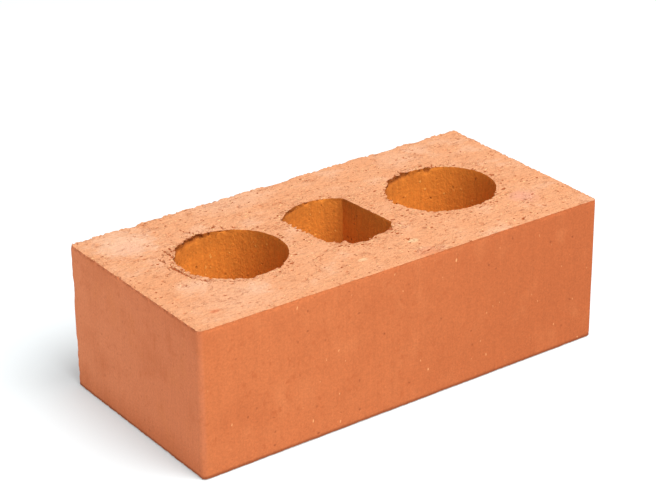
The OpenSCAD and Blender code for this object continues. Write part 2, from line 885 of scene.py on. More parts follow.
@dataclass
class Relief:
    """The relief of the fired clay, pressed into a body by one geometry tree, then applied.

    All amounts are millimetres and lead inwards from the frame's box, so that the piece stays in
    it. The wire drags along the bed's length, so the marks it leaves are drawn out that way.
    A drop is measured down from a bed, and a reach into the clay. A pair of them, and any band,
    is where something begins and where it is full. The wire way is the plan direction in which
    the wire dragged the rims.
    """

    body: BrickBody
    tears: tuple[Union[Tear, ArcTear], ...] = ()
    chips: tuple[Spot, ...] = ()
    breaks: tuple[Spot, ...] = ()
    smears: tuple[Spot, ...] = ()
    wear: EdgeWear = field(default_factory=EdgeWear)
    bed_mean: float = 0.26
    bed_broad: float = 0.09
    bed_drag: float = 0.10
    bed_grain: float = 0.13
    pit_depth: float = 0.6
    tear_depth: float = 0.45
    side_mean: float = 0.08
    side_broad: float = 0.05
    side_lines: float = 0.02
    torn_arris: float = 0.6
    arris_band: Band = (5.0, 1.5)
    wall_broad: float = 0.08
    wall_lines: float = 0.06
    rim_bite: float = 0.85
    rim_fine: float = 0.60
    rim_reach: float = 2.6
    rim_drop: float = 3.6
    rim_lowered: float = 0.5
    rim_sunk: float = 0.2
    rim_foot: float = 0.5
    wire_way: tuple[float, float] = (-0.8, 0.6)
    break_drop: Band = (5.0, 1.5)
    break_reach: Band = (2.2, 0.4)
    smear_drop: Band = (9.0, 2.0)
    smear_reach: Band = (3.0, 0.0)
    pit_chance: Band = (0.78, 0.95)
    pit_clear: Band = (0.6, 1.6)
    crumb_drop: float = 0.75
    blend_reach: float = 2.6
    least: float = 0.02
    on_plane: float = 0.01
    wall_zone: float = 0.4
    rim_zone: float = 10.0
    chip_edge: Lumps = Lumps(3.0, 2.0, 0.5, 12.0)
    rim_large: Lumps = Lumps(3.4, 1.0, 0.5, 21.0)
    rim_small: Lumps = Lumps(1.9, 1.0, 0.5, 23.0)
    break_edge: Lumps = Lumps(2.4, 2.0, 0.6, 27.0)
    smear_edge: Lumps = Lumps(2.6, 1.0, 0.5, 25.0)
    bed_clouds: Lumps = Lumps((18.0, 11.0, 11.0), 1.0, 0.5, 1.0)
    bed_lines: Lumps = Lumps((7.0, 1.8, 3.0), 2.0, 0.5, 5.0)
    bed_sand: Lumps = Lumps(1.5, 2.0, 0.6, 9.0)
    bed_pits: Grains = Grains((4.6, 2.6, 2.6), 2.0, flat=True)
    tear_edge: Lumps = Lumps(2.2, 2.0, 0.5, 14.0)
    side_clouds: Lumps = Lumps((34.0, 34.0, 26.0), 1.0, 0.5, 4.0)
    side_drawn: Lumps = Lumps((1.6, 1.6, 60.0), 1.0, 0.5, 6.0)
    arris_lumps: Lumps = Lumps(2.2, 2.0, 0.6, 16.0)
    wall_clouds: Lumps = Lumps((12.0, 12.0, 16.0), 2.0, 0.5, 8.0)
    wall_drawn: Lumps = Lumps((1.7, 1.7, 14.0), 1.0, 0.5, 11.0)

    def press(self, piece: bpy.types.Object) -> None:
        """Press the relief into a piece and store its zones on the mesh.

        Args:
            piece: The smooth body.
        """
        tree = bpy.data.node_groups.new("clay_relief", "GeometryNodeTree")
        for way in ("INPUT", "OUTPUT"):
            tree.interface.new_socket("Geometry", in_out=way, socket_type="NodeSocketGeometry")
        sheet = NodeSheet(tree)
        offset, zones = self._fields(sheet)
        flow = sheet.add("NodeGroupInput").outputs[0]
        for zone, value in zones.items():
            flow = sheet.add("GeometryNodeStoreNamedAttribute", {
                "Geometry": flow, "Name": zone.value, "Value": value},
                data_type="FLOAT", domain="POINT").outputs[0]
        moved = sheet.add("GeometryNodeSetPosition", {"Geometry": flow, "Offset": offset})
        sheet.add("NodeGroupOutput", {0: moved.outputs[0]})
        pick_only(piece)
        change = piece.modifiers.new("relief", "NODES")
        change.node_group = tree
        bpy.ops.object.modifier_apply(modifier=change.name)
        bpy.data.node_groups.remove(tree)

    def _fields(self, sheet: NodeSheet) -> tuple[Socket, dict[Zone, Socket]]:
        """Work out how the relief moves each point of the smooth body.

        Args:
            sheet: The geometry tree to add to.

        Returns:
            How far each point moves, in metres, and the value of each zone there.
        """
        place = sheet.scaled(sheet.add("GeometryNodeInputPosition").outputs[0], 1 / MM)
        x, y, z = sheet.split(place)
        height = self.body.height
        up = sheet.math("SIGN", sheet.minus(z, height / 2))
        below = sheet.lowest(z, sheet.minus(height, z))
        upper = sheet.math("GREATER_THAN", up, 0.0)
        on_bed = sheet.math("LESS_THAN", below, self.on_plane)

        inset, out_x, out_y = self._outline(sheet, x, y)
        gap, away_x, away_y = self._nearest_core(sheet, x, y)
        near_side = sheet.fade(inset, self.blend_reach, 0.0)
        near_wall = sheet.fade(gap, self.blend_reach, 0.0)
        near_bed = sheet.fade(below, self.blend_reach, 0.0)

        crumb = self._edge_bites(sheet, place, inset, below, upper)
        notch, ragged = self._rim_bites(sheet, place, gap, away_x, away_y, below, upper)
        smear = self._smeared(sheet, place, gap, below, upper)
        bed, pits = self._bed(sheet, place, sheet.lowest(inset, gap), upper)

        down = sheet.highest(
            sheet.plus(bed, sheet.times(crumb, self.crumb_drop), ragged), self.least)
        inwards = sheet.highest(sheet.plus(self._side(sheet, place), crumb), self.least)
        into = sheet.minus(sheet.plus(self._wall(sheet, place), notch), smear)

        plan = (sheet.minus(sheet.times(away, into, near_wall),
                            sheet.times(out, inwards, near_side))
                for away, out in ((away_x, out_x), (away_y, out_y)))
        move = sheet.joined(*plan, sheet.times(up, down, near_bed, -1.0))
        on_wall = sheet.times(sheet.math("LESS_THAN", gap, self.wall_zone),
                              sheet.inverse(on_bed))
        zones = {
            Zone.BED: on_bed,
            Zone.WALL: on_wall,
            Zone.CHIP: sheet.plus(crumb, sheet.math("ABSOLUTE", notch)),
            Zone.RIM: sheet.fade(sheet.plus(gap, below), self.rim_zone, 0.0),
            Zone.PIT: sheet.times(pits, on_bed),
        }
        return sheet.scaled(move, MM), zones

    def _outline(self, sheet: NodeSheet, x: Socket, y: Socket) -> tuple[Socket, Socket, Socket]:
        """Measure the clay inside the outer sides.

        Args:
            sheet: The tree to add to.
            x: The point's place along the length, in millimetres.
            y: The point's place along the width, in millimetres.

        Returns:
            The distance in from the outer sides, and the plan direction out to them as its
            x and y parts.
        """
        radius = self.body.arris_radius
        far = []
        for part, size in ((x, self.body.length), (y, self.body.width)):
            past = sheet.minus(sheet.math("ABSOLUTE", part), size / 2 - radius)
            far.append((past, sheet.highest(past, 0.0), sheet.math("SIGN", part)))
        (past_x, out_x, sign_x), (past_y, out_y, sign_y) = far
        corner = sheet.length(sheet.joined(out_x, out_y, 0.0))
        inside = sheet.lowest(sheet.highest(past_x, past_y), 0.0)
        inset = sheet.minus(radius, sheet.plus(corner, inside))
        never_zero = sheet.highest(corner, 0.001)
        return (inset, sheet.times(sign_x, sheet.math("DIVIDE", out_x, never_zero)),
                sheet.times(sign_y, sheet.math("DIVIDE", out_y, never_zero)))

    def _nearest_core(self, sheet: NodeSheet, x: Socket, y: Socket
                      ) -> tuple[Socket, Socket, Socket]:
        """Measure the clay round the nearest core.

        Args:
            sheet: The tree to add to.
            x: The point's place along the length, in millimetres.
            y: The point's place along the width, in millimetres.

        Returns:
            The distance from the core's wall into the clay, and the plan direction away from
            the core as its x and y parts.
        """
        found = None
        for core in self.body.cores:
            made = core.gap(sheet, x, y)
            if found is None:
                found = made
                continue
            nearer = sheet.math("LESS_THAN", made[0], found[0])
            further = sheet.inverse(nearer)
            found = tuple(sheet.plus(sheet.times(nearer, new), sheet.times(further, old))
                          for new, old in zip(made, found))
        return found

    def _edge_bites(self, sheet: NodeSheet, place: Socket, inset: Socket, below: Socket,
                    upper: Socket) -> Socket:
        """Crumble the outer edges of the beds.

        Args:
            sheet: The tree to add to.
            place: The place on the brick, in millimetres.
            inset: The distance in from the outer sides.
            below: The distance from the nearer bed.
            upper: One in the upper half of the brick, and zero in the lower half.

        Returns:
            How deep the edges have crumbled.
        """
        wear = self.wear
        x, y, _ = sheet.split(place)
        half_x, half_y = self.body.length / 2, self.body.width / 2
        inner, outer = wear.band
        strength = sheet.highest(
            sheet.fade(y, half_y - inner, half_y - outer, 0.0, wear.back),
            sheet.fade(y, inner - half_y, outer - half_y, 0.0, wear.front),
            sheet.fade(x, inner - half_x, outer - half_x, 0.0, wear.left),
            sheet.fade(x, half_x - inner, half_x - outer, 0.0, wear.right))
        share = sheet.plus(sheet.times(upper, 1.0 - wear.foot), wear.foot)
        large = sheet.fade(sheet.noise(place, wear.large), 0.40, 0.78)
        small = sheet.fade(sheet.noise(place, wear.small), 0.42, 0.78)
        bite = sheet.plus(sheet.times(large, wear.large_share),
                          sheet.times(small, wear.small_share), wear.even_share)
        reach = sheet.fade(sheet.plus(inset, below), wear.reach, 0.0)
        crumb = sheet.times(strength, share, bite, reach)
        wobble = sheet.swing(place, self.chip_edge)
        for chip in self.chips:
            gone = sheet.times(chip.mask(sheet, place, wobble), upper, reach)
            crumb = sheet.highest(crumb, gone)
        return crumb

    def _rim_bites(self, sheet: NodeSheet, place: Socket, gap: Socket, away_x: Socket,
                   away_y: Socket, below: Socket, upper: Socket) -> tuple[Socket, Socket]:
        """Bite into the rims of the cores.

        Args:
            sheet: The tree to add to.
            place: The place on the brick, in millimetres.
            gap: The distance from the nearest core's wall into the clay.
            away_x: The x part of the plan direction away from that core.
            away_y: The y part of that direction.
            below: The distance from the nearer bed.
            upper: One in the upper half of the brick, and zero in the lower half.

        Returns:
            How far the rims are bitten into the clay, and how far they are lowered.
        """
        wire_x, wire_y = self.wire_way
        dragged = sheet.plus(sheet.times(away_x, wire_x), sheet.times(away_y, wire_y))
        strength = sheet.highest(sheet.fade(dragged, -0.2, 0.8, 0.16, 1.5),
                                 sheet.fade(away_y, -0.2, -0.9))
        share = sheet.plus(sheet.times(upper, 1.0 - self.rim_foot), self.rim_foot)
        reach = sheet.times(strength, share, sheet.fade(below, self.rim_drop, 0.0),
                            sheet.fade(gap, self.rim_reach, 0.0))
        large = sheet.swing(place, self.rim_large)
        fine = sheet.swing(place, self.rim_small)
        bite = sheet.plus(sheet.times(large, self.rim_bite), sheet.times(fine, self.rim_fine))
        notch = sheet.times(bite, reach)
        flat = sheet.vector("MULTIPLY", place, (1.0, 1.0, 0.0))
        wobble = sheet.swing(place, self.break_edge)
        for gone in self.breaks:
            taken = sheet.times(gone.mask(sheet, flat, wobble), upper,
                                sheet.fade(below, *self.break_drop),
                                sheet.fade(gap, *self.break_reach))
            notch = sheet.highest(notch, taken)
        lowered = sheet.times(sheet.highest(sheet.plus(bite, self.rim_sunk), 0.0), reach,
                              self.rim_lowered)
        return notch, lowered

    def _smeared(self, sheet: NodeSheet, place: Socket, gap: Socket, below: Socket,
                 upper: Socket) -> Socket:
        """Drag soft clay over the cores from their rims, as the wire did.

        Args:
            sheet: The tree to add to.
            place: The place on the brick, in millimetres.
            gap: The distance from the nearest core's wall into the clay.
            below: The distance from the nearer bed.
            upper: One in the upper half of the brick, and zero in the lower half.

        Returns:
            How far the clay stands out over the cores.
        """
        flat = sheet.vector("MULTIPLY", place, (1.0, 1.0, 0.0))
        wobble = sheet.swing(place, self.smear_edge)
        filled = 0.0
        for smear in self.smears:
            filled = sheet.highest(filled, smear.mask(sheet, flat, wobble))
        return sheet.times(filled, upper, sheet.fade(below, *self.smear_drop),
                           sheet.fade(gap, *self.smear_reach))

    def _bed(self, sheet: NodeSheet, place: Socket, edge: Socket,
             upper: Socket) -> tuple[Socket, Socket]:
        """Shape the surface of the wire-cut beds.

        Args:
            sheet: The tree to add to.
            place: The place on the brick, in millimetres.
            edge: The distance to the nearest edge of the bed.
            upper: One in the upper half of the brick, and zero in the lower half.

        Returns:
            How deep the bed lies under the wire's level, and how much of that is pits.
        """
        broad = sheet.times(sheet.swing(place, self.bed_clouds), self.bed_broad)
        drag = sheet.times(sheet.swing(place, self.bed_lines), self.bed_drag)
        grain = sheet.times(sheet.swing(place, self.bed_sand), self.bed_grain)
        reach, chance = sheet.scatter(place, self.bed_pits)
        held = sheet.fade(chance, *self.pit_chance)
        size = sheet.plus(sheet.times(chance, 0.34), -0.02)
        pit = sheet.times(sheet.fade(reach, size, sheet.times(size, 0.35)), held, self.pit_depth)
        wobble = sheet.swing(place, self.tear_edge)
        pits = sheet.times(pit, sheet.fade(edge, *self.pit_clear))
        torn = pits
        for tear in self.tears:
            opened = sheet.times(tear.mask(sheet, place, wobble), upper, self.tear_depth)
            torn = sheet.highest(torn, opened)
        return sheet.plus(broad, drag, grain, self.bed_mean, torn), pits

    def _side(self, sheet: NodeSheet, place: Socket) -> Socket:
        """Shape the surface of the die-drawn sides.

        Args:
            sheet: The tree to add to.
            place: The place on the brick, in millimetres.

        Returns:
            How far the sides lie inside the frame's box.
        """
        broad = sheet.times(sheet.swing(place, self.side_clouds), self.side_broad)
        lines = sheet.times(sheet.swing(place, self.side_drawn), self.side_lines)
        x, y, _ = sheet.split(place)
        half_x, half_y = self.body.length / 2, self.body.width / 2
        inner, outer = self.arris_band
        at_arris = sheet.times(sheet.fade(x, inner - half_x, outer - half_x),
                               sheet.fade(y, half_y - inner, half_y - outer))
        lumps = sheet.noise(place, self.arris_lumps)
        torn = sheet.fade(lumps, 0.42, 0.70, 0.0, self.torn_arris)
        return sheet.plus(self.side_mean, broad, lines, sheet.times(at_arris, torn))

    def _wall(self, sheet: NodeSheet, place: Socket) -> Socket:
        """Shape the surface of the core walls.

        Args:
            sheet: The tree to add to.
            place: The place on the brick, in millimetres.

        Returns:
            How far the walls lie back in the clay from their smooth shape.
        """
        broad = sheet.times(sheet.swing(place, self.wall_clouds), self.wall_broad)
        lines = sheet.times(sheet.swing(place, self.wall_drawn), self.wall_lines)
        return sheet.plus(broad, lines)


# ---------------------------------------------------------------------------------------------
# The finish of the fired clay
# ---------------------------------------------------------------------------------------------


@dataclass(frozen=True)
class MixedGrains:
    """Grains of mixed size, some of whose cells stay empty.

    A cell's chance value sets its grain's radius, in cells, and how strongly the grain shows.
    Both are curves: the chance values where one starts and ends, and its levels there. A grain
    is at full strength within a share of its radius.
    """

    grains: Grains
    radius: Curve
    strength: Curve
    full: float = 0.6

    def mask(self, sheet: NodeSheet, place: Socket, extra: Value = 0.0) -> Socket:
        """Draw the grains.

        Args:
            sheet: The tree to add to.
            place: The place on the brick, in millimetres.
            extra: What is added to each cell's chance value.

        Returns:
            How strongly a grain shows at the place, from 0 to 1.
        """
        reach, chance = sheet.scatter(place, self.grains)
        drawn = sheet.plus(chance, extra)
        size = sheet.fade(drawn, *self.radius)
        return sheet.times(sheet.fade(reach, size, sheet.times(size, self.full)),
                           sheet.fade(drawn, *self.strength))


@dataclass(frozen=True)
class SkinFinish:
    """The smooth skin that the die drew on the sides and ends.

    A band is where something begins and where it is full, in millimetres: in from the end at
    minus x, down from the upper bed, up from the foot, or along and across the brick.
    """

    half_length: float
    height: float
    base: Triple = (0.452, 0.126, 0.042)
    # The sides' tone at plus x, darker as painted shade where the light falls off.
    far: Triple = (0.388, 0.098, 0.031)
    end: Triple = (0.484, 0.145, 0.060)
    # The end's tone at its back, lighter as painted light.
    end_back_lit: Triple = (0.522, 0.168, 0.073)
    dull: Triple = (0.385, 0.096, 0.030)
    pale: Triple = (0.490, 0.150, 0.053)
    fleck: Triple = (0.78, 0.36, 0.15)
    speck: Triple = (0.19, 0.040, 0.012)
    # The colour of painted shade under the end's top edge and round the foot.
    painted_shade: Triple = (0.20, 0.048, 0.016)
    end_band: Band = (3.0, 0.6)
    along: Band = (-70.0, 105.0)
    across: Band = (-45.0, 50.0)
    # Up to this height the end darkens towards its foot, as painted shade.
    end_foot_shade: float = 16.0
    lip_band: Band = (2.6, 0.7)
    # Where the painted shade round the foot begins and where it is full.
    foot_shade_band: Band = (2.2, 0.6)
    blotches: Lumps = Lumps((32.0, 32.0, 24.0), 3.0, 0.55, 41.0)
    smears: Lumps = Lumps((8.0, 8.0, 15.0), 3.0, 0.6, 43.0)
    lights: Lumps = Lumps((13.0, 13.0, 20.0), 2.0, 0.5, 47.0)
    drawn: Lumps = Lumps((0.9, 0.9, 40.0), 2.0, 0.5, 51.0)
    sand: Lumps = Lumps(1.0, 3.0, 0.65, 53.0)
    loosened: Shift = Shift(1.5, 0.25, 57.0)
    flecks: MixedGrains = MixedGrains(
        Grains((3.8, 3.8, 7.6), 3.0), (0.35, 1.0, 0.05, 0.15), (0.35, 0.90, 0.3, 1.0), 0.3)
    specks: MixedGrains = MixedGrains(
        Grains((4.6, 4.6, 5.4), 6.0), (0.40, 1.0, 0.05, 0.20), (0.45, 1.0, 0.0, 1.0), 0.2)
    smudges: Lumps = Lumps((3.4, 3.4, 4.2), 3.0, 0.6, 59.0)
    lip_lumps: Lumps = Lumps((2.2, 2.2, 1.2), 3.0, 0.7, 58.0)

    def dress(self, sheet: NodeSheet, place: Socket) -> tuple[Socket, Socket]:
        """Colour the skin.

        Args:
            sheet: The tree to add to.
            place: The place on the brick, in millimetres.

        Returns:
            The skin's colour, and its fine relief in millimetres.
        """
        x, _, z = sheet.split(place)
        begins, full = self.end_band
        on_end = sheet.fade(x, begins - self.half_length, full - self.half_length)
        lines = sheet.swing(place, self.drawn)
        sand = sheet.swing(place, self.sand)
        colour = sheet.shaded(self._ground(sheet, place, on_end), sheet.times(lines, 0.035),
                              sheet.times(sand, 0.13))
        loose = sheet.shifted(place, self.loosened)
        fleck, speck = self.flecks.mask(sheet, loose), self.specks.mask(sheet, loose)
        smudge = sheet.fade(sheet.noise(loose, self.smudges), 0.57, 0.72)
        for mark, on_side, on_header, tint in ((fleck, 0.65, 0.12, self.fleck),
                                               (speck, 0.55, 0.25, self.speck),
                                               (smudge, 0.80, 0.35, self.dull)):
            share = sheet.fade(on_end, 0.0, 1.0, on_side, on_header)
            colour = sheet.blend(sheet.times(mark, share), colour, tint)
        # Painted shade under the end's top edge, where the clay is torn and bumped in too.
        begins, full = self.lip_band
        torn = sheet.times(sheet.fade(z, self.height - begins, self.height - full),
                           sheet.fade(sheet.noise(place, self.lip_lumps), 0.42, 0.60))
        colour = sheet.blend(sheet.times(torn, on_end, 0.55), colour, self.painted_shade)
        # Painted shade: a dark line round the foot, where the brick meets the floor.
        foot = sheet.fade(sheet.plus(z, sheet.times(lines, 0.15)), *self.foot_shade_band)
        colour = sheet.blend(sheet.times(foot, 0.85), colour, self.painted_shade)
        relief = sheet.plus(sheet.times(lines, 0.014), sheet.times(sand, 0.035),
                            sheet.times(speck, -0.14), sheet.times(fleck, 0.04),
                            sheet.times(torn, -0.12))
        return colour, relief

    def _ground(self, sheet: NodeSheet, place: Socket, on_end: Socket) -> Socket:
        """Colour the skin in the large: its two tones, painted shade and light, and its clouds.

        Args:
            sheet: The tree to add to.
            place: The place on the brick, in millimetres.
            on_end: How far the place is on the end at minus x, from 0 to 1.

        Returns:
            The colour.
        """
        x, y, z = sheet.split(place)
        # Painted shade: the sides darken towards plus x, where the light falls off.
        sides = sheet.blend(sheet.fade(x, *self.along), self.base, self.far)
        # Painted light: the end is lighter towards its back.
        ends = sheet.blend(sheet.fade(y, *self.across), self.end, self.end_back_lit)
        # Painted shade: the end darkens towards its foot.
        ends = sheet.blend(sheet.fade(z, self.end_foot_shade, 0.0, 0.0, 0.5), ends, self.dull)
        colour = sheet.blend(on_end, sides, ends)
        for lumps, begins, full, share, tint in ((self.blotches, 0.45, 0.75, 0.45, self.dull),
                                                 (self.smears, 0.50, 0.80, 0.40, self.dull),
                                                 (self.lights, 0.52, 0.80, 0.50, self.pale)):
            cloud = sheet.noise(place, lumps)
            colour = sheet.blend(sheet.fade(cloud, begins, full, 0.0, share), colour, tint)
        return colour


@dataclass(frozen=True)
class BedFinish:
    """The torn, sandy face that the cutting wire leaves on the beds."""

    tears: tuple[Union[Tear, ArcTear], ...] = ()
    pale_spots: tuple[Spot, ...] = ()
    pink_spots: tuple[Spot, ...] = ()
    white_spots: tuple[Spot, ...] = ()
    red_spots: tuple[Spot, ...] = ()
    brown_spots: tuple[Spot, ...] = ()
    calm_spots: tuple[Spot, ...] = ()
    # The bed's tones are paler than the skin's: cut clay, and partly painted sheen from above.
    base: Triple = (0.529, 0.242, 0.121)
    warm: Triple = (0.504, 0.206, 0.091)
    pale: Triple = (0.575, 0.335, 0.215)
    pink: Triple = (0.520, 0.235, 0.165)
    white: Triple = (0.60, 0.42, 0.24)
    red: Triple = (0.42, 0.09, 0.028)
    brown: Triple = (0.22, 0.066, 0.028)
    # The colour of painted shade in hollows: pits, specks, cracks, tears and broken clay.
    hollow_shade: Triple = (0.26, 0.047, 0.005)
    grit: Triple = (0.76, 0.46, 0.22)
    clouds: Lumps = Lumps((16.0, 12.0, 12.0), 4.0, 0.6, 61.0)
    stain_edge: Lumps = Lumps(4.0, 4.0, 0.65, 63.0)
    sand: Lumps = Lumps(1.3, 4.0, 0.72, 65.0)
    dragged: Lumps = Lumps((4.6, 1.9, 2.0), 4.0, 0.65, 67.0)
    loosened: Shift = Shift(2.0, 0.5, 69.0)
    crowding: Lumps = Lumps(9.0, 2.0, 0.5, 70.0)
    grits: MixedGrains = MixedGrains(
        Grains((1.8, 1.3, 1.3), 8.0, flat=True), (0.72, 1.15, 0.108, 0.36),
        (0.72, 0.84, 0.0, 1.0))
    fine_specks: MixedGrains = MixedGrains(
        Grains((1.7, 1.2, 1.2), 11.0, flat=True), (0.83, 1.15, 0.108, 0.36),
        (0.83, 0.95, 0.0, 1.0))
    specks: MixedGrains = MixedGrains(
        Grains((3.0, 2.2, 2.2), 12.0, flat=True), (0.88, 1.15, 0.093, 0.31),
        (0.88, 1.0, 0.0, 1.0))
    dashes: MixedGrains = MixedGrains(
        Grains((7.0, 3.1, 3.1), 15.0, flat=True), (0.86, 1.15, 0.075, 0.25),
        (0.86, 0.98, 0.0, 1.0))
    crumbs: Lumps = Lumps(1.7, 3.0, 0.7, 79.0)
    hairs: Lumps = Lumps((4.6, 2.4, 2.4), 2.0, 0.6, 74.0)
    hair_places: Lumps = Lumps(6.0, 2.0, 0.5, 76.0)
    tear_edge: Lumps = Lumps(1.6, 3.0, 0.6, 72.0)

    def dress(self, sheet: NodeSheet, place: Socket) -> tuple[Socket, Socket]:
        """Colour the bed.

        Args:
            sheet: The tree to add to.
            place: The place on the brick, in millimetres.

        Returns:
            The bed's colour, and its fine relief in millimetres.
        """
        rim, chip = sheet.zone(Zone.RIM), sheet.zone(Zone.CHIP)
        sand = sheet.swing(place, self.sand)
        drag = sheet.swing(place, self.dragged)
        colour = sheet.shaded(self._ground(sheet, place), sheet.times(sand, 0.15),
                              sheet.times(drag, 0.07))
        loose = sheet.shifted(place, self.loosened)
        broken = sheet.fade(chip, 0.10, 0.60)
        extra = self._crowded(sheet, place, rim, broken)
        grit = self.grits.mask(sheet, loose, extra)
        colour = sheet.blend(sheet.times(grit, 0.60), colour, self.grit)
        lumps = sheet.noise(place, self.crumbs)
        # Painted shade darkens the hollows: pits, specks, cracks, tears, and broken clay at chips.
        dark = sheet.highest(
            self._specks(sheet, loose, extra), self._hairs(sheet, place, loose, rim),
            sheet.times(broken, sheet.fade(lumps, 0.45, 0.62, 0.15, 0.85)),
            sheet.fade(sheet.zone(Zone.PIT), 0.12, 0.60, 0.0, 0.75))
        wobble = sheet.swing(place, self.tear_edge)
        for tear in self.tears:
            dark = sheet.highest(dark, tear.mask(sheet, place, wobble))
        colour = sheet.blend(sheet.times(dark, 0.92), colour, self.hollow_shade)
        relief = sheet.plus(sheet.times(sand, 0.18), sheet.times(drag, 0.20),
                            sheet.times(grit, 0.18), sheet.times(dark, -0.22))
        return colour, relief

    def _crowded(self, sheet: NodeSheet, place: Socket, rim: Socket, broken: Socket) -> Socket:
        """Work out where grains and specks lie closer together.

        Args:
            sheet: The tree to add to.
            place: The place on the brick, in millimetres.
            rim: How near the place is to a core's rim, from 0 to 1.
            broken: How broken the bed is there, from 0 to 1.

        Returns:
            What is added to the chance of a grain or speck there.
        """
        thick = sheet.swing(place, self.crowding)
        extra = sheet.plus(sheet.times(thick, 0.17), sheet.times(rim, 0.22),
                           sheet.times(broken, 0.30))
        for spot in self.calm_spots:
            extra = sheet.minus(extra, spot.mask(sheet, place, thick))
        return extra

    def _specks(self, sheet: NodeSheet, loose: Socket, extra: Socket) -> Socket:
        """Scatter dark specks and dashes over the bed: pits, with painted shade in them.

        Args:
            sheet: The tree to add to.
            loose: The place, loosened by noise.
            extra: What is added to their chance.

        Returns:
            How strongly one shows at the place, from 0 to 1.
        """
        fine = self.fine_specks.mask(sheet, loose, extra)
        return sheet.highest(sheet.times(fine, 0.60), self.specks.mask(sheet, loose, extra),
                             self.dashes.mask(sheet, loose, extra))

    def _hairs(self, sheet: NodeSheet, place: Socket, loose: Socket, rim: Socket) -> Socket:
        """Draw hairline cracks, dark with painted shade, where soft noise crosses zero.

        Args:
            sheet: The tree to add to.
            place: The place on the brick, in millimetres.
            loose: The place, loosened by noise.
            rim: How near the place is to a core's rim, from 0 to 1.

        Returns:
            How strongly a hairline shows at the place, from 0 to 1.
        """
        ridge = sheet.math("ABSOLUTE", sheet.swing(loose, self.hairs))
        where = sheet.plus(sheet.noise(place, self.hair_places), sheet.times(rim, 0.07))
        hair = sheet.times(sheet.fade(ridge, 0.16, 0.03), sheet.fade(where, 0.52, 0.64))
        return sheet.times(hair, 0.48)

    def _ground(self, sheet: NodeSheet, place: Socket) -> Socket:
        """Colour the bed in the large: its clouds and its stained patches.

        Args:
            sheet: The tree to add to.
            place: The place on the brick, in millimetres.

        Returns:
            The colour.
        """
        broad = sheet.noise(place, self.clouds)
        colour = sheet.blend(sheet.fade(broad, 0.46, 0.70, 0.0, 0.45), self.base, self.warm)
        colour = sheet.blend(sheet.fade(broad, 0.48, 0.28, 0.0, 0.45), colour, self.pale)
        wobble = sheet.swing(place, self.stain_edge)
        for spots, tint in ((self.pale_spots, self.pale), (self.pink_spots, self.pink),
                            (self.white_spots, self.white), (self.red_spots, self.red),
                            (self.brown_spots, self.brown)):
            for spot in spots:
                colour = sheet.blend(spot.mask(sheet, place, wobble), colour, tint)
        return colour


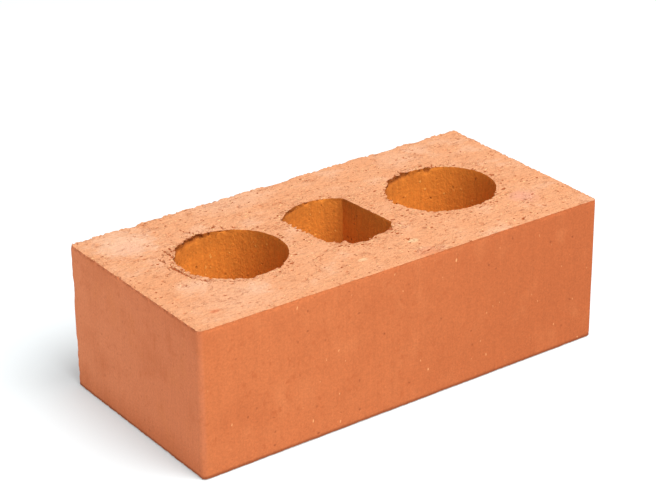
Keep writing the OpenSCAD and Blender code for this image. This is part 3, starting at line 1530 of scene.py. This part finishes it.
@dataclass(frozen=True)
class WallFinish:
    """The ochre, drawn surface inside the cores.

    A band is where something begins and where it is full, in millimetres under the upper bed.
    """

    height: float
    # Where painted shade falls on the walls under the rims.
    shaded_rims: tuple[Spot, ...] = ()
    # A more orange tone than the skin's: partly painted bounce light between the walls.
    base: Triple = (0.637, 0.200, 0.0275)
    dull: Triple = (0.592, 0.184, 0.0255)
    fleck: Triple = (0.82, 0.42, 0.10)
    # The colour of painted shade in pits and under the rims.
    hollow_shade: Triple = (0.22, 0.052, 0.007)
    torn_band: Band = (4.0, 1.6)
    soft_shade_band: Band = (13.0, 1.0)
    shade_line_band: Band = (3.0, 1.5)
    band_wander: float = 1.3
    clouds: Lumps = Lumps((9.0, 9.0, 16.0), 4.0, 0.6, 71.0)
    drawn: Lumps = Lumps((1.3, 1.3, 13.0), 3.0, 0.6, 73.0)
    sand: Lumps = Lumps((1.3, 1.3, 1.9), 3.0, 0.7, 75.0)
    loosened: Shift = Shift(1.5, 0.35, 77.0)
    flecks: Grains = Grains((2.8, 2.8, 4.2), 17.0)
    pits: Grains = Grains((2.9, 2.9, 3.8), 19.0)
    crumbs: Lumps = Lumps(1.6, 3.0, 0.7, 78.0)
    lip_edge: Lumps = Lumps(2.0, 3.0, 0.6, 81.0)

    def dress(self, sheet: NodeSheet, place: Socket) -> tuple[Socket, Socket]:
        """Colour the wall.

        Args:
            sheet: The tree to add to.
            place: The place on the brick, in millimetres.

        Returns:
            The wall's colour, and its fine relief in millimetres.
        """
        chip = sheet.zone(Zone.CHIP)
        broad = sheet.noise(place, self.clouds)
        colour = sheet.blend(sheet.fade(broad, 0.42, 0.72, 0.0, 0.6), self.base, self.dull)
        lines = sheet.swing(place, self.drawn)
        sand = sheet.swing(place, self.sand)
        colour = sheet.shaded(colour, sheet.times(lines, 0.12), sheet.times(sand, 0.09))
        loose = sheet.shifted(place, self.loosened)
        reach, chance = sheet.scatter(loose, self.flecks)
        fleck = sheet.times(sheet.fade(reach, 0.20, 0.08), sheet.fade(chance, 0.40, 0.90))
        colour = sheet.blend(sheet.times(fleck, 0.6), colour, self.fleck)
        reach, chance = sheet.scatter(loose, self.pits)
        pit = sheet.times(sheet.fade(reach, 0.22, 0.08), sheet.fade(chance, 0.5, 0.95))
        below = sheet.minus(self.height, sheet.split(place)[2])
        # Painted shade in the wall's pits and in the torn clay under chipped rims, bumped in too.
        torn = sheet.times(sheet.fade(chip, 0.16, 0.55), sheet.fade(below, *self.torn_band),
                           sheet.fade(sheet.noise(place, self.crumbs), 0.36, 0.50))
        colour = sheet.blend(sheet.highest(sheet.times(pit, 0.55), sheet.times(torn, 0.95)),
                             colour, self.hollow_shade)
        # Painted shade on the walls under the rims: a soft band and a ragged line at its top.
        soft, ragged = self._under_rim(sheet, place, below)
        colour = sheet.blend(sheet.highest(sheet.times(soft, 0.50), sheet.times(ragged, 0.90)),
                             colour, self.hollow_shade)
        relief = sheet.plus(sheet.times(lines, 0.02), sheet.times(sand, 0.12),
                            sheet.times(torn, -0.3), sheet.times(fleck, 0.12),
                            sheet.times(pit, -0.3))
        return colour, relief

    def _under_rim(self, sheet: NodeSheet, place: Socket, below: Socket
                   ) -> tuple[Socket, Socket]:
        """Paint shade on the wall just under the worn rims.

        Args:
            sheet: The tree to add to.
            place: The place on the brick, in millimetres.
            below: The distance down from the upper bed.

        Returns:
            How strongly the soft band of painted shade shows, and the ragged line at its top.
        """
        flat = sheet.vector("MULTIPLY", place, (1.0, 1.0, 0.0))
        wobble = sheet.swing(place, self.lip_edge)
        under = sheet.highest(*(painted_shade.mask(sheet, flat, 0.0) for painted_shade in self.shaded_rims))
        depth = sheet.plus(below, sheet.times(wobble, self.band_wander))
        return (sheet.times(under, sheet.fade(depth, *self.soft_shade_band)),
                sheet.times(under, sheet.fade(depth, *self.shade_line_band)))


@dataclass(frozen=True)
class FiredClay:
    """The finishes of the whole brick, one for each kind of surface on it."""

    skin: SkinFinish
    bed: BedFinish
    wall: WallFinish
    roughness: float = 0.88
    specular: float = 0.12
    in_zone: float = 0.5

    def dress(self, piece: bpy.types.Object) -> None:
        """Give each face of a piece the finish of the surface that it is on.

        Args:
            piece: The brick, with its zones on its mesh.
        """
        piece.data.materials.clear()
        finishes = {Surface.SKIN: self.skin, Surface.BED: self.bed, Surface.WALL: self.wall}
        for surface in Surface:
            material = self._material(f"fired_clay_{surface.name.lower()}", finishes[surface])
            piece.data.materials.append(material)
        beds = piece.data.attributes[Zone.BED.value].data
        walls = piece.data.attributes[Zone.WALL.value].data
        for face in piece.data.polygons:
            surface = Surface.SKIN
            if all(beds[corner].value > self.in_zone for corner in face.vertices):
                surface = Surface.BED
            elif any(walls[corner].value > self.in_zone for corner in face.vertices):
                surface = Surface.WALL
            face.material_index = surface.value

    def _material(self, name: str, finish: Union[SkinFinish, BedFinish, WallFinish]
                  ) -> bpy.types.Material:
        """Build the material of one finish.

        Args:
            name: The material's name.
            finish: The finish.

        Returns:
            The material.
        """
        material = bpy.data.materials.new(name)
        material.use_nodes = True
        sheet = NodeSheet(material.node_tree)
        shader = material.node_tree.nodes["Principled BSDF"]
        place = sheet.scaled(sheet.add("ShaderNodeTexCoord").outputs["Object"], 1 / MM)
        colour, relief = finish.dress(sheet, place)
        bump = sheet.add("ShaderNodeBump", {"Strength": 1.0, "Distance": MM, "Height": relief})
        sheet.feed(shader.inputs["Base Color"], colour)
        sheet.feed(shader.inputs["Normal"], bump.outputs[0])
        shader.inputs["Roughness"].default_value = self.roughness
        shader.inputs["Specular IOR Level"].default_value = self.specular
        return material


# ---------------------------------------------------------------------------------------------
# The brick
# ---------------------------------------------------------------------------------------------


@dataclass
class Brick:
    """The whole brick: its body, the relief pressed into it, and its finish."""

    body: BrickBody
    relief: Relief
    finish: FiredClay

    def build(self) -> bpy.types.Object:
        """Model and dress the brick, and stand it in for the frame's node.

        Returns:
            The finished piece.
        """
        piece = self.body.build()
        LOG.info("body: %d faces", len(piece.data.polygons))
        self.relief.press(piece)
        pick_only(piece)
        bpy.ops.object.mode_set(mode="EDIT")
        bpy.ops.mesh.select_all(action="SELECT")
        bpy.ops.mesh.quads_convert_to_tris()
        bpy.ops.object.mode_set(mode="OBJECT")
        bpy.ops.object.shade_smooth_by_angle(angle=math.radians(self.body.sharp_angle))
        self.finish.dress(piece)
        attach(piece, "root")
        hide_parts("brick")
        LOG.info("piece %s: %d triangles", piece.name, len(piece.data.polygons))
        return piece


# ---------------------------------------------------------------------------------------------
# The studio
# ---------------------------------------------------------------------------------------------


@dataclass(frozen=True)
class Lamp:
    """An area lamp that faces a point on the brick. Sizes and places are in metres."""

    name: str
    shape: str
    place: Triple
    aim: Triple
    size: float
    size_y: float
    power: float

    def hang(self) -> bpy.types.Object:
        """Add the lamp to the scene.

        Returns:
            The lamp.
        """
        light = bpy.data.lights.new(self.name, "AREA")
        light.shape, light.size, light.size_y, light.energy = (
            self.shape, self.size, self.size_y, self.power)
        lamp = bpy.data.objects.new(self.name, light)
        bpy.context.scene.collection.objects.link(lamp)
        lamp.location = self.place
        lamp.rotation_mode = "QUATERNION"
        lamp.rotation_quaternion = (Vector(self.place) - Vector(self.aim)).to_track_quat("Z", "Y")
        return lamp


@dataclass(frozen=True)
class Camera:
    """The camera, placed by its bearing from a point it looks at.

    Places are in metres, angles in degrees, and the lens and sensor in millimetres.
    """

    target: Triple = (0.0014, 0.0101, 0.0548)
    distance: float = 1.0150
    bearing: float = -35.82
    elevation: float = 25.55
    roll: float = -0.55
    lens: float = 119.74
    sensor: float = 36.0

    def place(self) -> bpy.types.Object:
        """Add the camera to the scene and make it the active one.

        Returns:
            The camera.
        """
        bearing, elevation = math.radians(self.bearing), math.radians(self.elevation)
        back = Vector((math.sin(bearing) * math.cos(elevation),
                       -math.cos(bearing) * math.cos(elevation), math.sin(elevation)))
        data = bpy.data.cameras.new("camera")
        data.lens, data.sensor_width = self.lens, self.sensor
        camera = bpy.data.objects.new("camera", data)
        bpy.context.scene.collection.objects.link(camera)
        camera.location = Vector(self.target) + back * self.distance
        camera.rotation_mode = "QUATERNION"
        camera.rotation_quaternion = (Quaternion(back, math.radians(self.roll))
                                      @ (-back).to_track_quat("-Z", "Y"))
        bpy.context.scene.camera = camera
        return camera


@dataclass(frozen=True)
class Studio:
    """A plain pale floor under plain soft light."""

    lamps: tuple[Lamp, ...]
    camera: Camera
    floor_size: float = 6.0
    floor_level: float = -0.0003
    floor_colour: Triple = (0.420, 0.448, 0.456)
    floor_roughness: float = 0.9
    floor_specular: float = 0.1
    floor_glow: float = 0.28
    sky_strength: float = 0.54

    def build(self) -> None:
        """Lay the floor, light it and set up the camera."""
        self._floor()
        for lamp in self.lamps:
            lamp.hang()
        self._sky()
        self.camera.place()
        bpy.context.scene.view_settings.view_transform = "Standard"

    def _floor(self) -> bpy.types.Object:
        """Lay the floor, level with the brick's underside.

        Returns:
            The floor.
        """
        bpy.ops.object.select_all(action="DESELECT")
        bpy.ops.mesh.primitive_plane_add(size=self.floor_size, location=(0, 0, self.floor_level))
        floor = bpy.context.object
        floor.name = "floor"
        material = bpy.data.materials.new("floor_paper")
        material.use_nodes = True
        shader = material.node_tree.nodes["Principled BSDF"]
        shader.inputs["Base Color"].default_value = (*self.floor_colour, 1.0)
        shader.inputs["Roughness"].default_value = self.floor_roughness
        shader.inputs["Specular IOR Level"].default_value = self.floor_specular
        shader.inputs["Emission Color"].default_value = WHITE
        shader.inputs["Emission Strength"].default_value = self.floor_glow
        floor.data.materials.append(material)
        return floor

    def _sky(self) -> None:
        """Set the even white light all round."""
        world = bpy.data.worlds.new("studio")
        world.use_nodes = True
        background = world.node_tree.nodes["Background"]
        background.inputs["Color"].default_value = WHITE
        background.inputs["Strength"].default_value = self.sky_strength
        bpy.context.scene.world = world


# ---------------------------------------------------------------------------------------------
# Putting it together
# ---------------------------------------------------------------------------------------------


def three_cores() -> tuple[Core, ...]:
    """Return the three cores as they lie in this brick."""
    return (
        Core(CoreShape.ROUND, -57.9, 0.8, 25.5, 25.1),
        Core(CoreShape.FLAT_SIDED, -0.2, 0.8, 25.1, 25.1, 18.2, math.radians(4.0)),
        Core(CoreShape.ROUND, 60.5, 0.2, 27.0, 24.7),
    )


def bed_tears(cores: Sequence[Core]) -> tuple[Union[Tear, ArcTear], ...]:
    """List the tears that the wire opened in the upper bed.

    Args:
        cores: The three cores, from left to right.

    Returns:
        The tears.
    """
    left = cores[0]
    return (
        ArcTear(left, 3.2, 186.0, 30.0, 0.50, 1.0),
        ArcTear(left, 5.6, 158.0, 20.0, 0.42, 1.0),
        ArcTear(left, 2.4, 236.0, 26.0, 0.36, 0.9),
        Tear(-87.1, 15.5, -86.9, 10.6, 0.60, 1.0),
        Tear(-80.8, 22.0, -81.0, 15.8, 0.60, 1.0),
        Tear(-77.5, 22.3, -77.4, 20.7, 0.60, 1.0),
        Tear(-87.2, 5.2, -86.3, 1.2, 1.00, 1.0),
        Tear(-86.3, 0.8, -85.8, -3.3, 0.75, 1.0),
        Tear(-85.7, -4.8, -85.5, -8.4, 0.70, 1.0),
        Tear(-83.1, -12.7, -81.8, -16.1, 0.60, 1.0),
        Tear(-46.1, 27.6, -46.6, 25.3, 0.65, 1.0),
        Tear(-59.8, 26.4, -60.6, 31.5, 0.36, 1.0),
        Tear(-61.5, 30.0, -63.6, 35.5, 0.32, 1.0),
        Tear(-57.5, 26.5, -57.4, 30.5, 0.30, 0.9),
        Tear(-64.5, 25.4, -66.5, 29.0, 0.30, 0.9),
        Tear(56.0, 24.8, 56.6, 28.6, 0.36, 1.0),
        Tear(49.5, 23.0, 53.0, 26.0, 0.36, 1.0),
        Tear(72.0, 21.5, 74.4, 25.0, 0.40, 1.0),
        Tear(8.0, -50.0, 27.0, -45.5, 0.40, 0.5),
        Tear(-33.0, -26.0, -26.0, -24.5, 0.35, 0.6),
    )


def brick_finish(body: BrickBody, tears: tuple[Union[Tear, ArcTear], ...]) -> FiredClay:
    """Choose the finish of the fired clay, with its larger marks in their places.

    Args:
        body: The body that the finish goes on.
        tears: The tears of the upper bed.

    Returns:
        The finish.
    """
    bed = BedFinish(
        tears=tears,
        pale_spots=(Spot(-91.0, 38.0, 21.0, 0.9), Spot(-68.0, -34.0, 9.0, 0.6),
                    Spot(-80.0, -36.0, 28.0, 0.25), Spot(-28.0, 47.0, 14.0, 0.42, 2.4),
                    Spot(64.0, 42.0, 16.0, 0.35), Spot(80.0, 44.0, 9.0, 0.5),
                    Spot(-90.0, -16.0, 10.0, 0.5)),
        pink_spots=(Spot(86.0, -30.0, 9.0, 0.6), Spot(-92.0, 33.0, 9.0, 0.2)),
        white_spots=(Spot(-15.4, -39.2, 2.0, 0.55, 2.0), Spot(14.6, -37.1, 2.4, 0.65, 1.7)),
        red_spots=(Spot(-94.7, -41.5, 2.4, 0.6, 1.8), Spot(14.0, -50.5, 7.0, 0.35, 1.5)),
        brown_spots=(Spot(84.0, -33.5, 1.4, 0.8), Spot(27.0, -29.5, 1.5, 0.7),
                     Spot(75.0, -41.5, 1.6, 0.7, 1.6), Spot(1.0, -37.4, 1.0, 0.7, 1.5)),
        calm_spots=(Spot(-84.0, -36.0, 30.0, 0.20, 1.4), Spot(-94.0, 40.0, 18.0, 0.12)),
    )
    # The rims under which the walls get painted shade.
    wall = WallFinish(body.height, shaded_rims=(
        Spot(-72.0, 19.0, 36.0, 1.0), Spot(-16.0, 19.0, 28.0, 0.9), Spot(41.0, 17.0, 38.0, 1.0)))
    return FiredClay(SkinFinish(body.length / 2, body.height), bed, wall)


def brick_relief(body: BrickBody, tears: tuple[Union[Tear, ArcTear], ...]) -> Relief:
    """Choose the relief of the fired clay, with its larger bites and smears in their places.

    Args:
        body: The body that the relief is pressed into.
        tears: The tears of the upper bed.

    Returns:
        The relief.
    """
    return Relief(
        body, tears,
        chips=(Spot(-78.0, 54.0, 5.0, 1.0), Spot(87.0, 54.0, 6.0, 1.5),
               Spot(2.0, 54.0, 12.0, 0.9), Spot(68.0, 54.0, 12.0, 0.8)),
        breaks=(Spot(-74.0, 20.5, 4.5, 1.1), Spot(-66.0, 25.0, 4.0, 1.2),
                Spot(-60.0, 26.5, 3.0, 1.6), Spot(57.0, 25.0, 3.0, 1.4),
                Spot(47.0, 21.5, 4.0, 1.3), Spot(70.5, 24.0, 2.5, 1.2),
                Spot(52.0, 24.0, 2.6, 1.0), Spot(-20.0, 16.0, 2.5, 0.8),
                Spot(-9.0, -24.6, 2.5, 1.5)),
        smears=(Spot(-13.5, -19.5, 6.5, 3.4), Spot(5.0, -24.0, 8.0, 1.2)))


def studio() -> Studio:
    """Set out the studio: one broad lamp overhead, a low strip at the left, and the
    camera.

    Returns:
        The studio.
    """
    middle = Vector((0.0, 0.0, 0.04))
    key_distance = 3.0
    key = middle + Vector((0.125, -0.46, 0.87)).normalized() * key_distance
    return Studio(
        lamps=(
            Lamp("key", "DISK", place=tuple(key), aim=tuple(middle),
                 size=2.4, size_y=2.4, power=175.0),
            Lamp("strip", "RECTANGLE", place=(-1.2, 0.0, 0.06), aim=(0.0, 0.0, 0.036),
                 size=1.6, size_y=0.12, power=5.7),
        ),
        camera=Camera(),
    )


def main() -> None:
    """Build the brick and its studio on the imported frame."""
    logging.basicConfig(level=logging.INFO)
    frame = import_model()
    LOG.info("frame nodes: %s", sorted(frame["nodes"]))
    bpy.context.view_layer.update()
    low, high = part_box("brick")
    size = (high - low) / MM
    cores = three_cores()
    body = BrickBody(size.x, size.y, size.z, cores)
    tears = bed_tears(cores)
    relief = brick_relief(body, tears)
    Brick(body, relief, brick_finish(body, tears)).build()
    studio().build()


if __name__ == "__main__":
    main()
